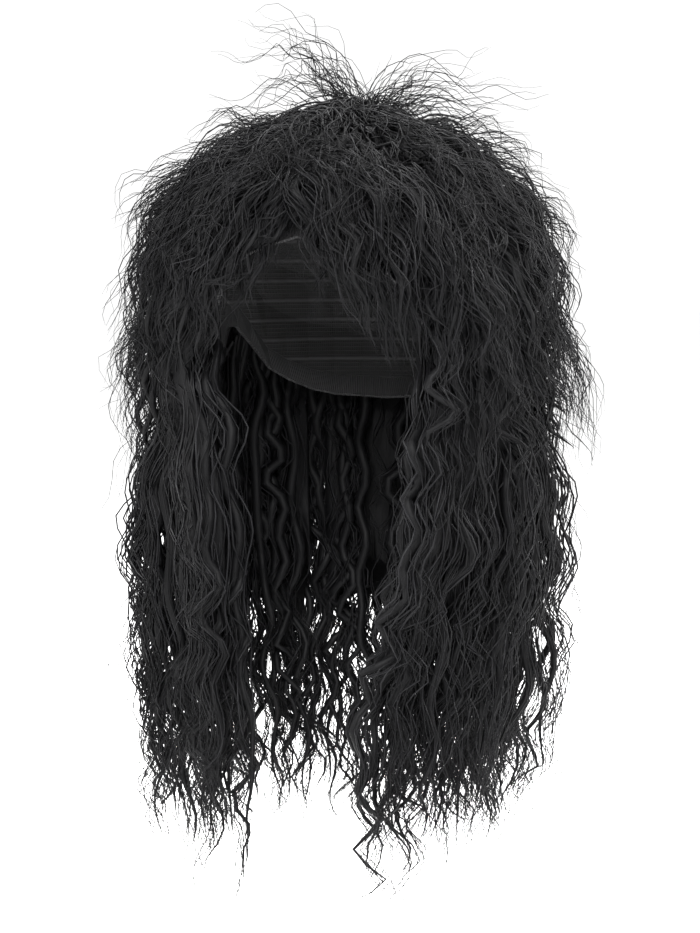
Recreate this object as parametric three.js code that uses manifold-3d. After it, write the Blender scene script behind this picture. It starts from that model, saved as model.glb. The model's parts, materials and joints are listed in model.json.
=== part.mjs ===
// A long mullet wig of teased and crimped hair, in millimetres, +Z up.
// It keeps the form that it has when worn. The origin is the top of the head,
// where the inside of the cap sits on it. The face looks along -Y, and the
// wearer's left is +X. A turn is counted from the face towards the wearer's
// left, in degrees, and a polar angle from the top of the head downwards.
import * as THREE from "three";
import Module from "manifold-3d";
import { mergeVertices } from "three/addons/utils/BufferGeometryUtils.js";

const wasm = await Module();
wasm.setup();

// The head that the cap fits: about 550 mm round
const HEAD_HALF_WIDTH = 77;
const HEAD_FRONT_REACH = 94;
const HEAD_BACK_REACH = 100;
const HEAD_RISE = 96;
const NECK_RADIUS = 60;

// Cap and edge band
const CAP_WALL = 1.5;
const BAND_WALL = 2.5;
const BAND_WIDTH = 14;
const CLEARANCE = 0.35;
const SLIVER = 0.08;

// Outer form of the hair
const HAIR_HALF_WIDTH = 142;
const HAIR_FRONT_REACH = 122;
const HAIR_BACK_REACH = 150;
const CROWN_RISE = 34;
const CROWN_FULLNESS = 2.3;
const WHORL_RADIUS = 8;
const WHORL_RISE = 26;
const HAIR_LENGTH = 462;

// Facets of the cap, which the hair's inner side follows
const HEAD_STEP = 12;
const CAP_ROWS = 6;
const HEAD_END = 134;

// Locks, which bend to and fro once in each crimp
const LOCK_SIDES = 4;
const CRIMP_LENGTH = 46;
const CRIMP_SWING = 5;
const CROWN_LOCK_WIDTH = 46;
const CROWN_LOCK_DEPTH = 22;
const LAYER_LOCK_WIDTH = 44;
const LAYER_LOCK_DEPTH = 26;
const LENGTH_LOCK_WIDTH = 36;
const LENGTH_LOCK_DEPTH = 30;
const FRINGE_LOCK_WIDTH = 18;
const FRINGE_LOCK_DEPTH = 10;
const WISP_LENGTH = 130;
const WISP_WIDTH = 11;

// Lower edge of the cap, as a polar angle at each turn from the face
const CAP_EDGE = [
  { turn: 0, polar: 60 },
  { turn: 35, polar: 70 },
  { turn: 58, polar: 94 },
  { turn: 70, polar: 104 },
  { turn: 82, polar: 95 },
  { turn: 100, polar: 95 },
  { turn: 122, polar: 114 },
  { turn: 150, polar: 124 },
  { turn: 180, polar: 126 },
];

// Width of the hair below the widest level of the head. Fall is the share of
// the way from there to the longest tips, and the others are shares of the
// hair's reach to the sides, the front and the back.
const COLUMN = [
  { fall: 0, side: 1, front: 1, back: 1 },
  { fall: 0.15, side: 1.04, front: 0.96, back: 0.99 },
  { fall: 0.24, side: 1.04, front: 0.9, back: 0.96 },
  { fall: 0.34, side: 1.01, front: 0.84, back: 0.93 },
  { fall: 0.5, side: 1, front: 0.84, back: 0.9 },
  { fall: 0.67, side: 0.97, front: 0.88, back: 0.88 },
  { fall: 0.85, side: 0.9, front: 0.92, back: 0.87 },
  { fall: 1, side: 0.78, front: 0.92, back: 0.84 },
];

// Tiers of crown locks. Root is a polar angle on the cap, lift the share of
// the hair's depth that a lock rises through before it turns, and crest and
// tip are polar angles on the outer form.
const CROWN_TIERS = [
  { locks: 6, from: 0, root: 30, lift: 0.66, crest: 34, tip: 58, share: 1.08 },
  { locks: 9, from: 14, root: 44, lift: 0.66, crest: 60, tip: 88, share: 1.1 },
  { locks: 12, from: 3, root: 58, lift: 0.66, crest: 82, tip: 112, share: 1.08 },
];

// Crown locks end this many degrees higher over the face.
const FACE_LIFT = 22;

// Upright wisps at the whorl. Long is a share of WISP_LENGTH, and out and up
// are shares of the wisp's own length.
const SPRAY_WISPS = [
  { turn: -84, long: 0.98, out: 0.82, up: 0.7 },
  { turn: -62, long: 0.86, out: 0.8, up: 0.84 },
  { turn: -104, long: 0.92, out: 0.98, up: 0.52 },
  { turn: -20, long: 0.54, out: 0.66, up: 0.9 },
  { turn: 46, long: 0.75, out: 0.74, up: 0.74 },
  { turn: 74, long: 0.95, out: 0.86, up: 0.56 },
  { turn: 98, long: 1, out: 0.98, up: 0.42 },
  { turn: 150, long: 0.74, out: 0.84, up: 0.6 },
  { turn: -150, long: 0.75, out: 0.84, up: 0.62 },
];

// Locks of one half of the parted fringe. Root and tip are turns from the
// face, long is the share of FRINGE_DROP and wide that of FRINGE_LOCK_WIDTH.
const FRINGE_DROP = 72;
const FRINGE_LOCKS = [
  { root: 5, tip: 7, long: 0.72, wide: 0.6 },
  { root: 12, tip: 19, long: 0.84, wide: 0.85 },
  { root: 21, tip: 30, long: 0.95, wide: 0.95 },
  { root: 31, tip: 41, long: 1, wide: 1 },
  { root: 41, tip: 49, long: 1.05, wide: 1 },
];

// Layered hair over the ears and at the back. Turns bound each panel.
const LAYERS = [
  { name: "side_layer_left", from: 50, to: 116, locks: 5 },
  { name: "side_layer_right", from: -116, to: -46, locks: 5 },
  { name: "back_layer_left", from: 120, to: 179, locks: 4 },
  { name: "back_layer_right", from: 181, to: 240, locks: 4 },
];
const LAYER_FALL = 0.36;

// Long hair. Root, waist and hem are turns at the cap, at the jaw and at the
// tips, for the panels on the wearer's left and at the back.
const LENGTHS = [
  { name: "length_front_left", root: [56, 92], waist: [42, 92], hem: [27, 76], locks: 5, tips: [0.98, 0.86] },
  { name: "length_back_left", root: [97, 148], waist: [97, 148], hem: [110, 152], locks: 5, tips: [0.86, 0.97] },
  { name: "length_back", root: [153, 207], waist: [153, 207], hem: [157, 203], locks: 5, tips: [0.98, 0.98] },
  { name: "length_back_right", root: [212, 263], waist: [212, 263], hem: [208, 250], locks: 5, tips: [0.97, 0.86] },
  { name: "length_front_right", root: [-92, -50], waist: [-92, -32], hem: [-76, -24], locks: 5, tips: [0.88, 0.98] },
];

// Long panels from the root down: inner and outer faces as shares of the
// hair's depth. Wide is 0 at the root's turns, 1 at the waist's, 2 at the hem's.
const LENGTH_ROWS = [
  { fall: -0.03, inner: 0, outer: 0.26, wide: 0 },
  { fall: 0.06, inner: 0.02, outer: 0.36, wide: 0.3 },
  { fall: 0.17, inner: 0.2, outer: 0.5, wide: 0.8 },
  { fall: 0.36, inner: 0.32, outer: 0.84, wide: 1 },
  { fall: 0.54, inner: 0.36, outer: 0.88, wide: 1.5 },
  { fall: 0.76, inner: 0.5, outer: 0.8, wide: 2 },
];

// Layer panels from the root down, in the same terms
const LAYER_ROWS = [
  { fall: -0.17, inner: 0, outer: 0.52 },
  { fall: -0.08, inner: 0, outer: 0.62 },
  { fall: 0.02, inner: 0.42, outer: 0.74 },
  { fall: 0.12, inner: 0.56, outer: 0.8 },
  { fall: 0.22, inner: 0.66, outer: 0.84 },
];

const HAIR = { color: 0x17171b, roughness: 0.5, metalness: 0 };
const NET = { color: 0x1b1a1c, roughness: 0.85, metalness: 0 };
const ELASTIC = { color: 0x232225, roughness: 0.8, metalness: 0 };

const radians = THREE.MathUtils.degToRad;
const lerp = THREE.MathUtils.lerp;

// Value of one column of a table at a place along another, between two rows.
function along(rows, key, value, column) {
  const next = rows.findIndex((row) => row[key] >= value);
  if (next === 0) return rows[0][column];
  if (next < 0) return rows[rows.length - 1][column];
  const [low, high] = [rows[next - 1], rows[next]];
  return lerp(low[column], high[column], (value - low[key]) / (high[key] - low[key]));
}

// A number from 0 to 1 that looks random and is the same on each run.
function scatter(index, column) {
  const wide = Math.sin(index * 12.9898 + column * 78.233) * 43758.5453;
  return wide - Math.floor(wide);
}

function around(turn, radius, height) {
  const angle = radians(turn);
  return new THREE.Vector3(radius * Math.sin(angle), -radius * Math.cos(angle), height);
}

// Radius at a turn of an oval with its own reach to the front and the back.
function oval(turn, side, front, back) {
  const angle = radians(turn);
  const ahead = Math.cos(angle) > 0 ? front : back;
  return 1 / Math.hypot(Math.sin(angle) / side, Math.cos(angle) / ahead);
}

function headRadius(turn) {
  return oval(turn, HEAD_HALF_WIDTH, HEAD_FRONT_REACH, HEAD_BACK_REACH);
}

// A point on the head, or a distance outside it.
function onHead(turn, polar, outside = 0) {
  const angle = radians(polar);
  return around(
    turn,
    (headRadius(turn) + outside) * Math.sin(angle),
    (HEAD_RISE + outside) * Math.cos(angle) - HEAD_RISE,
  );
}

function heightAt(fall) {
  return -HEAD_RISE - fall * (HAIR_LENGTH - HEAD_RISE);
}

// Radius of the head and neck that the hair goes round, at a height.
function bodyRadius(turn, height) {
  const level = Math.min(1, Math.abs(height + HEAD_RISE) / HEAD_RISE);
  const head = headRadius(turn) * Math.sqrt(1 - level * level);
  return height < -HEAD_RISE ? Math.max(head, NECK_RADIUS) : head;
}

// Radius of the outer form of the hair at a height.
function hairRadius(turn, height) {
  if (height >= -HEAD_RISE) {
    const level = Math.min(1, (height + HEAD_RISE) / (HEAD_RISE + CROWN_RISE));
    const full = Math.pow(1 - Math.pow(level, CROWN_FULLNESS), 1 / CROWN_FULLNESS);
    return oval(turn, HAIR_HALF_WIDTH, HAIR_FRONT_REACH, HAIR_BACK_REACH) * full;
  }
  const fall = (-HEAD_RISE - height) / (HAIR_LENGTH - HEAD_RISE);
  return oval(
    turn,
    HAIR_HALF_WIDTH * along(COLUMN, "fall", fall, "side"),
    HAIR_FRONT_REACH * along(COLUMN, "fall", fall, "front"),
    HAIR_BACK_REACH * along(COLUMN, "fall", fall, "back"),
  );
}

// A point at a height, a share of the way from the body to the outer form.
function inHair(turn, height, share) {
  const inner = bodyRadius(turn, height);
  return around(turn, lerp(inner, hairRadius(turn, height), share), height);
}

// A point above the widest level, a share of the way out from the head, at a
// polar angle of the crown. Past 90 degrees it goes on down the column.
function onCrown(turn, polar, share) {
  if (polar > 90) {
    const below = radians(polar - 90) * HAIR_HALF_WIDTH;
    return inHair(turn, -HEAD_RISE - below, share);
  }
  const power = 2 / CROWN_FULLNESS;
  const sine = Math.pow(Math.sin(radians(polar)), power);
  const cosine = Math.pow(Math.cos(radians(polar)), power);
  const reach = oval(turn, HAIR_HALF_WIDTH, HAIR_FRONT_REACH, HAIR_BACK_REACH);
  const outer = around(turn, reach * sine, (HEAD_RISE + CROWN_RISE) * cosine - HEAD_RISE);
  return onHead(turn, polar).lerp(outer, share);
}

// A closed solid through rings of points. Each ring has the same even number
// of points, and a ring may shrink to one point at an end.
function loft(rings) {
  const count = rings[0].length;
  const triangles = [];
  rings.slice(1).forEach((ring, row) => {
    const above = rings[row];
    ring.forEach((point, i) => {
      const j = (i + 1) % count;
      triangles.push([above[i], above[j], ring[j]], [above[i], ring[j], point]);
    });
  });
  const last = rings[rings.length - 1];
  for (let i = 0; i < count / 2 - 1; i++) {
    const [a, b] = [count - 1 - i, count - 2 - i];
    triangles.push([rings[0][i + 1], rings[0][i], rings[0][a]], [rings[0][i + 1], rings[0][a], rings[0][b]]);
    triangles.push([last[i], last[i + 1], last[b]], [last[i], last[b], last[a]]);
  }
  return solidOf(triangles);
}

// One solid from a closed list of triangles, with its faces outwards.
function solidOf(triangles) {
  const geometry = new THREE.BufferGeometry();
  geometry.setFromPoints(triangles.flat());
  const merged = mergeVertices(geometry, 1e-3);
  const points = merged.attributes.position.array;
  const vertex = (i) => new THREE.Vector3().fromArray(points, i * 3);
  const corners = [];
  let volume = 0;
  for (let i = 0; i < merged.index.count; i += 3) {
    const [a, b, c] = merged.index.array.slice(i, i + 3);
    if (a === b || b === c || c === a) continue;
    corners.push(a, b, c);
    volume += vertex(a).dot(vertex(b).cross(vertex(c)));
  }
  const triVerts = new Uint32Array(volume > 0 ? corners : corners.reverse());
  return new wasm.Manifold(new wasm.Mesh({ numProp: 3, vertProperties: points, triVerts }));
}

const fuse = (solids) => solids.reduce((whole, piece) => whole.add(piece));

const largest = (solid) => solid.decompose().sort((a, b) => b.volume() - a.volume())[0];

// The largest of the bodies that a cut leaves, without its slivers.
function mainBody(solid) {
  return largest(largest(solid).simplify(SLIVER));
}

// A tapered lock along a path: an oval section, wide across the hair and thin
// outwards, which bends from side to side as crimped hair does. The section's
// direction is carried from ring to ring, so that it never flips over.
function lock(path, { width, thick, phase = 0, swing = CRIMP_SWING }, extra = 0) {
  const steps = Math.round(path.getLength() / CRIMP_LENGTH);
  const rings = [];
  const root = path.getPointAt(0).setZ(0);
  const across = path.getTangentAt(0).cross(root);
  for (let step = 0; step <= steps; step++) {
    const share = step / steps;
    const centre = path.getPointAt(share);
    const forward = path.getTangentAt(share);
    across.addScaledVector(forward, -across.dot(forward)).normalize();
    const up = new THREE.Vector3().crossVectors(across, forward).normalize();
    const bent = (step % 2 ? 1 : -1) * swing * share;
    centre.addScaledVector(across, bent * Math.cos(Math.PI * phase));
    centre.addScaledVector(up, 0.5 * bent * Math.sin(Math.PI * phase));
    const full = Math.min(1, 0.62 + 2 * share) * Math.pow(1 - share, 0.55);
    const ring = [];
    for (let side = 0; side < LOCK_SIDES; side++) {
      const angle = (2 * Math.PI * side) / LOCK_SIDES;
      const wide = (width / 2) * full + (share < 1 ? extra : 0);
      const deep = (thick / 2) * full + (share < 1 ? extra : 0);
      ring.push(
        centre
          .clone()
          .addScaledVector(across, wide * Math.cos(angle))
          .addScaledVector(up, deep * Math.sin(angle)),
      );
    }
    rings.push(ring);
  }
  return loft(rings);
}

// A ring round the head, at the polar angle that a function gives each turn.
function headRing(polarOf, outside) {
  const ring = [];
  for (let turn = 0; turn < 360; turn += HEAD_STEP) {
    ring.push(onHead(turn, polarOf(turn), outside));
  }
  return ring;
}

// Polar angle of the cap's edge at a turn, less a distance up from it.
function edgePolar(turn, upFromEdge) {
  const folded = turn > 180 ? 360 - turn : turn;
  const inset = THREE.MathUtils.radToDeg(upFromEdge / HEAD_RISE);
  return along(CAP_EDGE, "turn", folded, "polar") - inset;
}

// Rings from the top of the head down to the cap's own edge.
function domeRings(outside) {
  return Array.from({ length: CAP_ROWS + 1 }, (_, row) =>
    headRing((turn) => (edgePolar(turn, BAND_WIDTH + CLEARANCE) * row) / CAP_ROWS, outside),
  );
}

// The space of the head and of the cap and band on it, which hair stays out of.
function headSpace(extra) {
  const below = [0, 0.3, 0.65, 1].map((share) =>
    headRing((turn) => lerp(edgePolar(turn, 0), HEAD_END, share), BAND_WALL + extra),
  );
  const bandTop = headRing((turn) => edgePolar(turn, BAND_WIDTH + CLEARANCE), BAND_WALL + extra);
  return loft([...domeRings(CAP_WALL + extra), bandTop, ...below]);
}

// A curved panel of hair through rows that each give a height, a span of
// turns, and the inner and outer faces as shares of the hair's depth.
function panel(rows, columns, extra = 0) {
  const last = rows.length - 1;
  return loft(
    rows.map(({ height, from, to, inner, outer }, row) => {
      const outside = [];
      const inside = [];
      const rise = row === 0 ? extra : row === last ? -extra : 0;
      const wider = Math.sign(to - from) * THREE.MathUtils.radToDeg(extra / NECK_RADIUS);
      for (let i = 0; i <= columns; i++) {
        const turn = lerp(from - wider, to + wider, i / columns);
        const edge = i === 0 || i === columns ? 0.5 : 1;
        const middle = (inner + outer) / 2;
        const half = ((outer - inner) / 2) * edge;
        const near = inHair(turn, height, middle - half);
        const far = inHair(turn, height, middle + half);
        const outward = around(turn, extra, rise);
        outside.push(far.add(outward));
        inside.unshift(near.add(around(turn, -extra, rise)));
      }
      return [...outside, ...inside];
    }),
  );
}

// The cap: a thin dome, open below, that ends just above the band.
function capSolid() {
  return loft([...domeRings(CAP_WALL), ...domeRings(0).reverse()]);
}

// The band: a strip that carries on the cap's lower edge, a little thicker.
function bandSolid() {
  const high = (turn) => edgePolar(turn, BAND_WIDTH);
  const low = (turn) => edgePolar(turn, 0);
  const ring = [
    headRing(high, BAND_WALL),
    headRing(low, BAND_WALL),
    headRing(low, 0),
    headRing(high, 0),
  ];
  const triangles = [];
  ring.forEach((edge, side) => {
    const next = ring[(side + 1) % ring.length];
    edge.forEach((point, i) => {
      const j = (i + 1) % edge.length;
      triangles.push([point, edge[j], next[j]], [point, next[j], next[i]]);
    });
  });
  return solidOf(triangles);
}

// A path that rises from the cap, crests and falls to its tip.
function bend(...points) {
  return new THREE.CubicBezierCurve3(...points);
}

// Teased crown: a thick dome with three tiers of locks over its lower slopes.
function crownHair(extra) {
  const rings = [];
  const rows = [
    { polar: 0, share: 0.8, out: 1, down: 0 },
    { polar: 22, share: 0.82, out: 1, down: 0 },
    { polar: 42, share: 0.84, out: 1, down: 0 },
    { polar: 62, share: 0.84, out: 1, down: 0 },
    { polar: 80, share: 0.86, out: 1, down: 3 },
    { polar: 64, share: 0.4, out: 0, down: 2 },
    { polar: 50, share: 0, out: 0, down: 2 },
  ];
  for (const { polar, share, out, down } of rows) {
    const ring = [];
    for (let turn = 0; turn < 360; turn += 15) {
      const point = onCrown(turn, polar, share);
      const outward = point.clone().setZ(point.z + HEAD_RISE).normalize();
      ring.push(point.addScaledVector(outward, out * extra).setZ(point.z - down * extra));
    }
    rings.push(ring);
  }
  rings.push(rings[0].map(() => new THREE.Vector3(0, 0, -HEAD_RISE / 3)));
  const locks = CROWN_TIERS.flatMap((tier, level) =>
    Array.from({ length: tier.locks }, (_, i) => {
      const turn = tier.from + (360 * (i + 0.3 * scatter(i, level))) / tier.locks;
      const drift = 16 * (scatter(i, level + 5) - 0.5);
      const overFace = Math.cos(radians(turn)) > 0.7;
      const tip = tier.tip - (overFace ? FACE_LIFT : 0) + 9 * (scatter(i, level + 9) - 0.5);
      const path = bend(
        onHead(turn, tier.root, CAP_WALL),
        onCrown(turn, tier.root, tier.lift),
        onCrown(turn + drift / 2, tier.crest, 1),
        onCrown(turn + drift, tip, tier.share),
      );
      const section = { width: CROWN_LOCK_WIDTH, thick: CROWN_LOCK_DEPTH, swing: 0.6 * CRIMP_SWING };
      return lock(path, { ...section, phase: scatter(i, level + 2) }, extra);
    }),
  );
  return fuse([loft(rings), ...locks]);
}

// Wisps that stand up from the whorl, behind the top of the head.
function crownSpray(extra) {
  const whorl = onHead(180, 24, CAP_WALL);
  const up = new THREE.Vector3(0, 0, 1);
  const wisps = SPRAY_WISPS.map(({ turn, long: share, out, up: rise }, i) => {
    const away = around(turn, 1, 0);
    const long = share * WISP_LENGTH;
    const path = bend(
      whorl.clone().addScaledVector(away, WHORL_RADIUS / 3),
      whorl.clone().addScaledVector(up, 0.5 * long).addScaledVector(away, 0.12 * long),
      whorl.clone().addScaledVector(up, 0.95 * rise * long).addScaledVector(away, 0.4 * long),
      whorl.clone().addScaledVector(up, rise * long).addScaledVector(away, out * long),
    );
    const section = { width: WISP_WIDTH, thick: 0.8 * WISP_WIDTH, swing: 0.6 * CRIMP_SWING };
    return lock(path, { ...section, phase: scatter(i, 4) }, extra);
  });
  const root = [-extra, WHORL_RISE + extra].map((high) =>
    Array.from({ length: 8 }, (_, i) => around(i * 45, WHORL_RADIUS + extra, high).add(whorl)),
  );
  return fuse([loft(root), ...wisps]);
}

// One half of the fringe: a root band along the hairline and parted locks.
function fringeHalf(side, extra) {
  const start = heightAt(0) + HEAD_RISE * 0.62;
  const rows = [
    { height: start, inner: 0, outer: 0.5 },
    { height: start - 0.2 * FRINGE_DROP, inner: 0.12, outer: 0.5 },
    { height: start - 0.42 * FRINGE_DROP, inner: 0.34, outer: 0.62 },
  ].map((row) => ({ ...row, from: side * 4, to: side * 44 }));
  const locks = FRINGE_LOCKS.map(({ root, tip, long, wide }, i) => {
    const low = start - long * FRINGE_DROP;
    const path = bend(
      inHair(side * root, start, 0.12),
      inHair(side * root, start - 0.1 * FRINGE_DROP, 0.7),
      inHair(side * lerp(root, tip, 0.6), lerp(start, low, 0.6), 0.74),
      inHair(side * tip, low, 0.6),
    );
    const section = { width: wide * FRINGE_LOCK_WIDTH, thick: FRINGE_LOCK_DEPTH, swing: 0.6 * CRIMP_SWING };
    return lock(path, { ...section, phase: scatter(i, 7) }, extra);
  });
  return fuse([panel(rows, 4, extra), ...locks]);
}

// Layered hair that covers the ears and flares at the cheek.
function layer({ from, to, locks }, extra) {
  const rows = LAYER_ROWS.map((row) => ({ ...row, from, to, height: heightAt(row.fall) }));
  const hung = Array.from({ length: locks }, (_, i) => {
    const turn = lerp(from, to, (i + 0.5) / locks);
    const drift = 8 * (scatter(i, from) - 0.5);
    const fall = LAYER_FALL - 0.1 * scatter(i, from + 3);
    const path = bend(
      inHair(turn, heightAt(-0.1), 0.3),
      inHair(turn, heightAt(-0.02), 0.86),
      inHair(turn, heightAt(fall * 0.6), 0.8),
      inHair(turn + drift, heightAt(fall), 1.04),
    );
    const section = { width: LAYER_LOCK_WIDTH, thick: LAYER_LOCK_DEPTH };
    return lock(path, { ...section, phase: scatter(i, to) }, extra);
  });
  return fuse([panel(rows, 6, extra), ...hung]);
}

// A panel of long hair with its locks, which part round the shoulders.
function lengthPanel({ root, waist, hem, locks, tips }, extra) {
  const span = (wide, end) =>
    wide < 1 ? lerp(root[end], waist[end], wide) : lerp(waist[end], hem[end], wide - 1);
  const rows = LENGTH_ROWS.map((row) => ({
    ...row,
    height: heightAt(row.fall),
    from: span(row.wide, 0),
    to: span(row.wide, 1),
  }));
  const hung = Array.from({ length: locks }, (_, i) => {
    const share = (i + 0.5) / locks;
    const turn = (wide) => lerp(span(wide, 0), span(wide, 1), share);
    const tip = lerp(tips[0], tips[1], share) - 0.06 * scatter(i, root[0]);
    const points = [
      inHair(turn(0.9), heightAt(0.24), 0.5),
      inHair(turn(1), heightAt(0.36), 0.8),
      inHair(turn(1.5), heightAt(0.54), 0.84),
      inHair(turn(2), heightAt(0.76), 0.8),
      inHair(turn(2), heightAt(tip), 0.78 + 0.2 * scatter(i, 8)),
    ];
    const path = new THREE.CatmullRomCurve3(points);
    const section = { width: LENGTH_LOCK_WIDTH, thick: LENGTH_LOCK_DEPTH };
    return lock(path, { ...section, phase: scatter(i, root[1]) }, extra);
  });
  return fuse([panel(rows, 6, extra), ...hung]);
}

const group = new THREE.Group();

// Adds a solid to the group as a named mesh.
function addPiece(name, solid, finish) {
  const { numProp, numVert, vertProperties, triVerts } = solid.getMesh();
  const points = new Float32Array(numVert * 3);
  for (let i = 0; i < numVert; i++) {
    points.set(vertProperties.subarray(i * numProp, i * numProp + 3), i * 3);
  }
  const geometry = new THREE.BufferGeometry();
  geometry.setAttribute("position", new THREE.BufferAttribute(points, 3));
  geometry.setIndex(new THREE.BufferAttribute(triVerts, 1));
  const mesh = new THREE.Mesh(geometry, new THREE.MeshStandardMaterial(finish));
  mesh.name = name;
  group.add(mesh);
}

addPiece("wig_cap", capSolid(), NET);
addPiece("edge_band", bandSolid(), ELASTIC);

// Hair pieces from the outermost in. Each is cut clear of the head and of the
// pieces that lie over it.
const pieces = [
  { name: "crown_spray", make: crownSpray },
  { name: "crown_hair", make: crownHair },
  { name: "fringe_left", make: (extra) => fringeHalf(1, extra) },
  { name: "fringe_right", make: (extra) => fringeHalf(-1, extra) },
  ...LAYERS.map((spec) => ({ name: spec.name, make: (extra) => layer(spec, extra) })),
  ...LENGTHS.map((spec) => ({ name: spec.name, make: (extra) => lengthPanel(spec, extra) })),
];
let taken = headSpace(CLEARANCE);
for (const { name, make } of pieces) {
  addPiece(name, mainBody(make(0).subtract(taken)), HAIR);
  taken = taken.add(make(CLEARANCE));
}

export default group;
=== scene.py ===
"""A long mullet wig of teased and crimped black hair, as it hangs when worn.

Places are in metres, +Z up. The origin is the top of the head under the cap,
the face looks along -Y, and the wearer's left is +X. A turn is counted from
the face towards the wearer's left, in degrees, and a polar angle from the top
of the head downwards.
"""

import json
import logging
import math
from collections.abc import Callable
from dataclasses import dataclass
from enum import Enum

import bmesh
import bpy
import numpy as np
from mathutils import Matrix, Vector

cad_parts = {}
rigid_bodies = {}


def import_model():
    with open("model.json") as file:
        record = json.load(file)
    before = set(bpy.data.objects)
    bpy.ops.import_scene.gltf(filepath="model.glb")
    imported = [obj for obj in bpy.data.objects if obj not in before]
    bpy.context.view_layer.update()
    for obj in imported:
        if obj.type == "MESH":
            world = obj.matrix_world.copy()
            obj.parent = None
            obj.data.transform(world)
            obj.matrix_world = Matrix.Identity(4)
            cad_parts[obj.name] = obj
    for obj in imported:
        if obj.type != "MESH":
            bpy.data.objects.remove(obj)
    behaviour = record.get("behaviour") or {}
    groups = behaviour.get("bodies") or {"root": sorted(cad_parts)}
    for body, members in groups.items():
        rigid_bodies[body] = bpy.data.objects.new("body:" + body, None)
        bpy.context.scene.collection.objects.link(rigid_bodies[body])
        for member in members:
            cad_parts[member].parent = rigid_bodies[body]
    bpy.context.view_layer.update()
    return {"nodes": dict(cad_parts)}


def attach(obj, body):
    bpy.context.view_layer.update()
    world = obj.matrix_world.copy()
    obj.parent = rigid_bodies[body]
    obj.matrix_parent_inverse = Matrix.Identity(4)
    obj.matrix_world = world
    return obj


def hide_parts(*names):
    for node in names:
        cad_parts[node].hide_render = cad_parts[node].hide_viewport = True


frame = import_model()

LOG = logging.getLogger("mullet_wig")
SEED = 41


class Side(Enum):
    """The wearer's two sides, as the sign of a turn."""

    LEFT = 1
    RIGHT = -1


class Value:
    """A socket that takes part in Python expressions by adding Math nodes."""

    def __init__(self, graph: "Graph", socket: bpy.types.NodeSocket) -> None:
        """Keeps the socket and the graph that new nodes go to."""
        self.graph = graph
        self.socket = socket

    def math(self, operation: str, *others: "Value | float") -> "Value":
        """Adds a Math node.

        Args:
            operation: the Math node's operation.
            others: the values after this one.

        Returns:
            The node's result.
        """
        return self.graph.math(operation, self, *others)

    def __add__(self, other: "Value | float") -> "Value":
        """Sum."""
        return self.math("ADD", other)

    def __sub__(self, other: "Value | float") -> "Value":
        """Difference."""
        return self.math("SUBTRACT", other)

    def __rsub__(self, other: float) -> "Value":
        """Difference from a number."""
        return self.graph.math("SUBTRACT", other, self)

    def __mul__(self, other: "Value | float") -> "Value":
        """Product."""
        return self.math("MULTIPLY", other)

    def __truediv__(self, other: "Value | float") -> "Value":
        """Quotient."""
        return self.math("DIVIDE", other)

    def __pow__(self, other: float) -> "Value":
        """Power."""
        return self.math("POWER", other)

    __radd__ = __add__
    __rmul__ = __mul__


class Graph:
    """A node tree with short ways to add nodes to it."""

    def __init__(self, tree: bpy.types.NodeTree) -> None:
        """Keeps the tree."""
        self.tree = tree

    def node(
        self, kind: str, settings: dict | None = None, inputs: dict | None = None
    ) -> bpy.types.Node:
        """Adds a node.

        Args:
            kind: the node's type.
            settings: properties, set before the sockets are fed.
            inputs: values or links, by the name or the number of their socket. A list
                holds several links to one socket.

        Returns:
            The node.
        """
        made = self.tree.nodes.new(kind)
        for name, value in (settings or {}).items():
            setattr(made, name, value)
        for key, value in (inputs or {}).items():
            socket = made.inputs[key] if isinstance(key, int) else self.enabled(made.inputs, key)
            for part in value if isinstance(value, list) else [value]:
                source = part.socket if isinstance(part, Value) else part
                if isinstance(source, bpy.types.NodeSocket):
                    self.tree.links.new(source, socket)
                else:
                    socket.default_value = source
        return made

    @staticmethod
    def enabled(sockets: bpy.types.bpy_prop_collection, name: str) -> bpy.types.NodeSocket:
        """The socket of a name that the node's settings leave in use."""
        return next(socket for socket in sockets if socket.name == name and socket.enabled)

    def value(
        self, kind: str, output: str, settings: dict | None = None, inputs: dict | None = None
    ) -> Value:
        """Adds a node and returns one of its outputs, by name."""
        made = self.node(kind, settings, inputs)
        return Value(self, self.enabled(made.outputs, output))

    def math(self, operation: str, *values: Value | float) -> Value:
        """Adds a Math node on two or three values."""
        settings = {"operation": operation}
        return self.value("ShaderNodeMath", "Value", settings, dict(enumerate(values)))

    def vector(self, operation: str, *values: Value | tuple) -> Value:
        """Adds a Vector Math node on two vectors."""
        settings = {"operation": operation}
        return self.value("ShaderNodeVectorMath", "Vector", settings, dict(enumerate(values)))

    def scaled(self, vector: Value, scale: Value | float) -> Value:
        """A vector times a number."""
        inputs = {"Vector": vector, "Scale": scale}
        return self.value("ShaderNodeVectorMath", "Vector", {"operation": "SCALE"}, inputs)


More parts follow.
